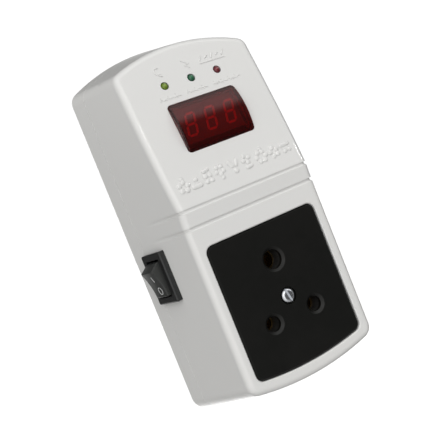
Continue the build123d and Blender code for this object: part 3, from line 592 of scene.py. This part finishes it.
big += petals(-22.6, ZR - 0.4, 5, 1.75, 1.05, 10) + [dot(-22.4, ZR + 2.6, 0.75)]
big += [([(-18.9, ZR - 1.9), (-16.2, ZR - 1.9)], 0.95), dot(-17.2, ZR + 0.7, 0.95)]
big += petals(-12.2, ZR - 0.7, 4, 1.45, 0.98, 45) + [([(-13.3, ZR + 2.2), (-11.4, ZR + 2.6)], 0.7)]
big += petals(-6.9, ZR + 0.6, 5, 1.6, 0.95, -20) + [dot(-6.6, ZR - 2.4, 0.8)]
big += [([(-2.3, ZR + 2.0), (-1.5, ZR + 0.4)], 0.85), ([(0.9, ZR + 2.0), (0.3, ZR + 0.4)], 0.85), dot(-0.6, ZR - 1.9, 1.05)]
big += petals(4.9, ZR + 0.9, 4, 1.35, 0.92, 20) + [([(4.2, ZR - 2.3), (6.0, ZR - 2.1)], 0.8)]
big += petals(11.4, ZR - 0.3, 6, 2.0, 1.0, 0) + [dot(12.2, ZR + 2.9, 0.7)]
big += petals(17.3, ZR - 0.4, 5, 1.7, 1.0, 30)
big += [([(21.0, ZR + 0.8), (24.2, ZR + 1.0)], 0.85), dot(21.9, ZR - 1.7, 0.95), dot(24.1, ZR - 1.5, 0.85)]
relief("raised_symbols", big, 0.58, U, step=0.13, shoulder=0.8)

small = []
w = 0.27
ZA = 23.6
small += [(arc(-11.8, ZA + 0.3, 1.35, 60, 300, 16), w), ([(-11.8, ZA - 1.6), (-10.6, ZA - 1.9)], w)]
small += [([(-1.0, ZA + 1.6), (1.4, ZA - 0.1), (-0.4, ZA - 0.6), (1.3, ZA - 1.8)], w)]
small += [([(6.4 + 2.5 * i, ZA - 0.5 + 0.5 * (i % 2)), (7.6 + 2.5 * i, ZA + 1.1 - 0.4 * (i % 2))], w) for i in range(5)]
small += [([(6.0, ZA - 1.7), (17.2, ZA - 1.7)], 0.24)]
relief("raised_lamp_marks", small, 0.30, U, step=0.09, sink=0.03)

tiny = []
w = 0.22
for x0, n in ((-15.4, 6), (-3.8, 6), (8.0, 8)):
    for i in range(n):
        x = x0 + i * 1.55
        k = (i * 7 + int(x0)) % 3
        if k == 0:
            tiny.append((arc(x, 12.3, 0.55, 20, 200, 8), w))
        elif k == 1:
            tiny.append(([(x - 0.55, 12.1), (x + 0.1, 12.8), (x + 0.6, 12.0)], w))
        else:
            tiny.append(([(x - 0.5, 12.6), (x + 0.55, 12.3)], w))
        if i % 2 == 0:
            tiny.append(([(x, 13.45), (x + 0.02, 13.45)], 0.2))
relief("raised_label_marks", tiny, 0.26, U, step=0.075, sink=0.03)

# ------------------------------------------------------------------ rocker
RR = 27.19


def rk_x(z):
    return 4.6 + RR - math.sqrt(RR * RR - z * z)


prof = [(rk_x(-5.68 + 11.36 * i / 24), -5.68 + 11.36 * i / 24) for i in range(25)]
prof += [(1.0, 7.0), (-1.6, 6.6), (-1.6, 1.9), (-6.2, 1.9), (-6.2, -1.9), (-1.6, -1.9), (-1.6, -6.6), (1.0, -7.0)]
bm = bmesh.new()
lo = [bm.verts.new((x, -3.9, z)) for x, z in prof]
hi = [bm.verts.new((x, 3.9, z)) for x, z in prof]
bm.faces.new(lo)
bm.faces.new(hi[::-1])
for i in range(len(prof)):
    j = (i + 1) % len(prof)
    bm.faces.new((lo[j], lo[i], hi[i], hi[j]))
bmesh.ops.recalc_face_normals(bm, faces=bm.faces)
bm.edges.ensure_lookup_table()
sel = [e for e in bm.edges if all(v.co.x > 0.9 for v in e.verts) and e.calc_face_angle(0) > math.radians(20)]
bmesh.ops.bevel(bm, geom=sel, offset=0.34, segments=4, profile=0.5, affect="EDGES", clamp_overlap=True)
me = bpy.data.meshes.new("rocker_paddle")
bm.to_mesh(me)
bm.free()
paddle = bpy.data.objects.new("rocker_paddle", me)
scene.collection.objects.link(paddle)


def cutter(make):
    bmc = bmesh.new()
    make(bmc)
    mc = bpy.data.meshes.new("tool")
    bmc.to_mesh(mc)
    bmc.free()
    oc = bpy.data.objects.new("tool", mc)
    scene.collection.objects.link(oc)
    return oc


hole = cutter(lambda b: bmesh.ops.create_cone(b, cap_ends=True, segments=32, radius1=1.3, radius2=1.3, depth=4.8, matrix=Matrix.Translation((-4.6, 0, 0)) @ Matrix.Rotation(math.pi / 2, 4, "Y")))
slots = [cutter(lambda b, s=s: bmesh.ops.create_cube(b, size=1.0, matrix=Matrix.Translation((-4.3, s * 3.7, 0)) @ Matrix.Diagonal((5.4, 3.0, 4.4, 1)))) for s in (-1, 1)]
ears = cutter(lambda b: bmesh.ops.create_cone(b, cap_ends=True, segments=32, radius1=1.1, radius2=1.1, depth=10.0, matrix=Matrix.Rotation(math.pi / 2, 4, "X")))
for tool, op in [(hole, "DIFFERENCE")] + [(s, "DIFFERENCE") for s in slots] + [(ears, "UNION")]:
    md = paddle.modifiers.new("b", "BOOLEAN")
    md.operation, md.object, md.solver = op, tool, "EXACT"
bpy.context.view_layer.update()
bake(paddle)
for tool in [hole, ears] + slots:
    bpy.data.objects.remove(tool)
for v in paddle.data.vertices:
    v.co = R(v.co.x, v.co.y, v.co.z)
for p in paddle.data.polygons:
    p.use_smooth = True
paddle.data.set_sharp_from_angle(angle=math.radians(32))
paddle.data.materials.clear()
paddle.data.materials.append(MAT["rocker_face"].m)
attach(paddle, "rocker")
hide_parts("rocker_button")


def face_strip(name, pts, half, closed, lift=0.05):
    """A printed line on the rocker's hollow face: a low rounded ribbon."""
    v, f = [], []
    m = len(pts)
    prof_ = [(-1.0, -0.04), (-0.8, lift * 0.8), (0.0, lift), (0.8, lift * 0.8), (1.0, -0.04)]
    for i, (y, z) in enumerate(pts):
        a = pts[(i - 1) % m] if closed or i > 0 else pts[i]
        b = pts[(i + 1) % m] if closed or i < m - 1 else pts[i]
        t = Vector((b[0] - a[0], b[1] - a[1])).normalized()
        nrm = Vector((-t.y, t.x))
        for s, h in prof_:
            yy, zz = y + nrm.x * s * half, z + nrm.y * s * half
            v.append(R(rk_x(zz) + h, yy, zz))
    k = len(prof_)
    for i in range(m if closed else m - 1):
        j = (i + 1) % m
        for q_ in range(k):
            p = (q_ + 1) % k
            f.append((i * k + q_, j * k + q_, j * k + p, i * k + p))
    if not closed:
        f.append(tuple(range(k))[::-1])
        f.append(tuple((m - 1) * k + q_ for q_ in range(k)))
    return add(name, v, f, "mark_print", "rocker")


face_strip("rocker_off_mark", [(0.75 + 1.1 * math.cos(a), -3.1 + 1.4 * math.sin(a)) for a in [2 * math.pi * i / 40 for i in range(40)]], 0.19, True)
face_strip("rocker_on_mark", [(0.55, 1.0 + 0.2 * i) for i in range(13)], 0.21, False)

# ------------------------------------------------------------ small springs
n, turns = 150, 6
hel = []
for i in range(n + 1):
    t = i / n
    a = 2 * math.pi * turns * t
    pitch = -5.33 + 3.0 * (t if 0.12 < t < 0.88 else (t * 0.6 if t <= 0.12 else 1 - (1 - t) * 0.6))
    hel.append((pitch, a))
v, f = sweep_tube([R(p, 0.6 * math.cos(a), 0.6 * math.sin(a)) for p, a in hel], 0.000105, 8)
add("plunger_coil_spring", v, f, "spring_steel", "rocker", replaces=("plunger_spring",))

# -------------------------------------------------------------- relay coil
RXC, RZC = -13.5, -7.2
ry = 13.15 + 2.05
prof_ = [(2.66, ry + 1.86), (4.25, ry + 1.86), (4.25, ry + 7.74), (2.66, ry + 7.74)]
core_v, core_f = ring_mesh(prof_, lambda x, z, h: U(RXC + x, h, RZC + z), 40)
hp = []
turns = 15
for i in range(turns * 36 + 1):
    a = 2 * math.pi * i / 36
    hp.append(U(RXC + 4.4 * math.cos(a), ry + 2.07 + (5.46) * i / (turns * 36), RZC + 4.4 * math.sin(a)))
hv, hf = sweep_tube(hp, 0.000190, 7)
v, f = merge([(core_v, core_f), (hv, hf)])
add("relay_winding", v, f, "winding", "housing", angle=40, replaces=("relay_coil",))

# ------------------------------------------------- board and part details
BY = 13.15
bands = []
for i, x in enumerate((-2.9, 1.8, 6.5, 11.2)):
    for k, (z, mt) in enumerate(((-0.4, "band_brown"), (0.9, "band_black"), (2.2, "band_orange"), (4.0, "band_gold"))):
        pr = [(1.10, z - 0.32), (1.19, z - 0.26), (1.19, z + 0.26), (1.10, z + 0.32)]
        v, f = ring_mesh(pr, lambda a, b, h, x=x: U(x + a, BY + 1.5 + b, h), 32)
        bands.append((mt, v, f))
for mt in ("band_brown", "band_black", "band_orange", "band_gold"):
    v, f = merge([(bv, bf) for m_, bv, bf in bands if m_ == mt])
    add("resistor_" + mt, v, f, mt, "housing", angle=40)

joints = []
leads = [(x, z) for x in (-2.9, 1.8, 6.5, 11.2) for z in (-2.05, 5.65)]
leads += [(2.1 + i * 2.54, z) for i in range(8) for z in (8.75, 15.45)]
leads += [(-9.0 + d, 6.0) for d in (-1.27, 0, 1.27)] + [(-19.95, 5.2), (-15.05, 5.2)]
for x, z in leads:
    pr = [(0.02, BY - 0.04), (0.62, BY - 0.04), (0.55, BY + 0.06), (0.40, BY + 0.22), (0.02, BY + 0.40)]
    joints.append(ring_mesh(pr, lambda a, b, h, x=x, z=z: U(x + a, h, z + b), 20))
v, f = merge(joints)
add("board_solder_joints", v, f, "solder", "housing", angle=40)

pr = [(3.2, BY + 11.46), (3.2, BY + 11.62), (3.75, BY + 11.56), (3.9, BY + 11.3), (3.5, BY + 11.3)]
v, f = ring_mesh(pr, lambda a, b, h: U(20.0 + a, h, 1.5 + b), 48)
add("capacitor_top_bead", v, f, "end_cap", "housing", angle=40)
pts = [(-16.95, 0.0), (-14.0, 0.25), (-11.0, -0.3), (-8.0, 0.2), (-5.05, 0.0)]
v, f = sweep_tube([U(x, BY + 4.2 + s, 13.5 + s * 0.5) for x, s in pts], 0.00009, 6)
add("fuse_element", v, f, "end_cap", "housing")
pr = [(0.05, BY + 3.74), (0.62, BY + 3.74), (0.62, BY + 3.84), (0.05, BY + 3.84)]
v, f = ring_mesh(pr, lambda a, b, h: U(2.4 + a, h, 10.4 + b), 24)
add("controller_pin_mark", v, f, "silk_white", "housing", angle=40)

# ------------------------------------------------------- floor, light, sky
bm = bmesh.new()
bmesh.ops.create_grid(bm, x_segments=8, y_segments=8, size=3.0)
me = bpy.data.meshes.new("floor")
bm.to_mesh(me)
bm.free()
floor = bpy.data.objects.new("floor", me)
floor.location = (0, 0, -0.16)
scene.collection.objects.link(floor)
fm = Mat("floor_card", (0.90, 0.90, 0.895), 0.85, Emission_Color=(1, 1, 1, 1), Emission_Strength=0.62)
fm.tint(fm.ramp(fm.noise(3, 3), 0.4, 0.7), (0.92, 0.92, 0.915))
me.materials.append(fm.m)
floor.visible_diffuse = False
floor.visible_glossy = False
floor.visible_transmission = False

world = bpy.data.worlds.new("sky")
scene.world = world
world.use_nodes = True
wt = world.node_tree
wt.nodes.clear()
wo = wt.nodes.new("ShaderNodeOutputWorld")
seen = wt.nodes.new("ShaderNodeBackground")
seen.inputs[0].default_value = (1, 1, 1, 1)
seen.inputs[1].default_value = 1.05
lit = wt.nodes.new("ShaderNodeBackground")
lp = wt.nodes.new("ShaderNodeLightPath")
mix = wt.nodes.new("ShaderNodeMixShader")
wt.links.new(lp.outputs["Is Camera Ray"], mix.inputs[0])
wt.links.new(lit.outputs[0], mix.inputs[1])
wt.links.new(seen.outputs[0], mix.inputs[2])
wt.links.new(mix.outputs[0], wo.inputs[0])
wc = wt.nodes.new("ShaderNodeTexCoord")


def lobe(direction, lo, hi):
    """1 inside a soft cone round a direction, 0 outside it."""
    d = wt.nodes.new("ShaderNodeVectorMath")
    d.operation = "DOT_PRODUCT"
    wt.links.new(wc.outputs["Generated"], d.inputs[0])
    d.inputs[1].default_value = Vector(direction).normalized()
    r = wt.nodes.new("ShaderNodeMapRange")
    r.interpolation_type = "SMOOTHSTEP"
    r.inputs["From Min"].default_value = lo
    r.inputs["From Max"].default_value = hi
    wt.links.new(d.outputs["Value"], r.inputs["Value"])
    return r.outputs["Result"]


def combine(a, b, op):
    n_ = wt.nodes.new("ShaderNodeMath")
    n_.operation = op
    for i, x in enumerate((a, b)):
        if isinstance(x, (int, float)):
            n_.inputs[i].default_value = x
        else:
            wt.links.new(x, n_.inputs[i])
    return n_.outputs[0]


# soft studio light: broad pale panels high in front, front left and left
PANELS = (((-1.0, -0.2, 0.0), 0.0, 1.0, 0.16), ((0.0, -0.75, 0.66), 0.3, 1.0, 1.00),
          ((-0.6, -0.8, 0.0), 0.4, 1.0, 0.80), ((0.6, -0.65, 0.5), 0.5, 1.0, 0.62),
          ((0.1, -0.60, -0.80), 0.3, 1.0, 0.38), ((0.12, 1.0, -0.28), 0.72, 1.0, 2.4))
total = 0.010
for direction, lo_, hi_, power in PANELS:
    total = combine(total, combine(lobe(direction, lo_, hi_), power, "MULTIPLY"), "ADD")
dark = lobe((0.41, -0.90, 0.08), math.cos(math.radians(38)), math.cos(math.radians(20)))
k = combine(combine(dark, -0.90, "MULTIPLY"), 1.0, "ADD")
wt.links.new(combine(total, k, "MULTIPLY"), lit.inputs["Strength"])
lit.inputs[0].default_value = (1.0, 0.997, 0.985, 1)


def area(name, pos, target, size, power, colour=(1, 1, 1), shape="RECTANGLE", size_y=None):
    d = bpy.data.lights.new(name, "AREA")
    d.shape, d.size, d.energy, d.color = shape, size, power, colour
    if shape in ("RECTANGLE", "ELLIPSE"):
        d.size_y = size_y or size
    o = bpy.data.objects.new(name, d)
    scene.collection.objects.link(o)
    o.location = pos
    o.rotation_mode = "QUATERNION"
    o.rotation_quaternion = (Vector(target) - Vector(pos)).to_track_quat("-Z", "Y")
    return o


area("spark", (-0.25, -0.84, 0.50), (0, 0, 0.05), 0.03, 0.30, shape="DISK")
area("spark_right", (0.71, -0.50, 0.27), (0, 0, 0.05), 0.03, 0.30, shape="DISK")
